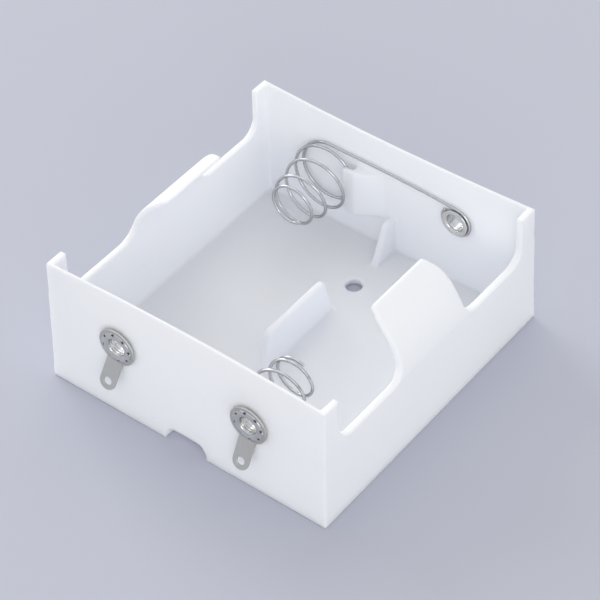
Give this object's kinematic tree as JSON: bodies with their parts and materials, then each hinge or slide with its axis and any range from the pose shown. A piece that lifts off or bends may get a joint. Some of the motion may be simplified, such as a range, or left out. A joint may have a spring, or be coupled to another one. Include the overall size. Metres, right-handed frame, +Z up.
{
  "type": "cylindrical cell holder",
  "caption": "Open moulded tray that holds cylindrical cells side by side in series, with snap-over cheeks, tapered coil contacts, riveted eyelets and bent solder tags.",
  "frame": {"origin": "on the resting plane under the floor, midway between the two screw holes", "axes": "+X to the right along the front wall that carries the solder tags, +Y from the front wall to the back wall along the cells, +Z up out of the open top"},
  "size_m": [0.072, 0.0768, 0.0337],
  "materials": {
    "moulding": "satin natural white polypropylene, slightly translucent",
    "spring_wire": "bright nickel-plated round wire",
    "eyelet_metal": "bright nickel-plated brass",
    "tag_metal": "tinned sheet, satin"
  },
  "bodies": {
    "tray": {"tray": "moulding", "back_eyelet": "eyelet_metal", "front_left_eyelet": "eyelet_metal", "front_right_eyelet": "eyelet_metal", "front_left_tag": "tag_metal", "front_right_tag": "tag_metal"},
    "back_spring": {"back_spring": "spring_wire"},
    "front_spring": {"front_spring": "spring_wire"}
  },
  "joints": [
    {"name": "back_spring_press", "type": "slide", "parent": "tray", "child": "back_spring", "axis": [0, 1, 0], "range_m": [0, 0.0065], "stiffness_N_per_m": 1200, "deforming": ["back_spring"]},
    {"name": "front_spring_press", "type": "slide", "parent": "tray", "child": "front_spring", "axis": [0, -1, 0], "range_m": [0, 0.0065], "stiffness_N_per_m": 1200, "deforming": ["front_spring"]}
  ]
}
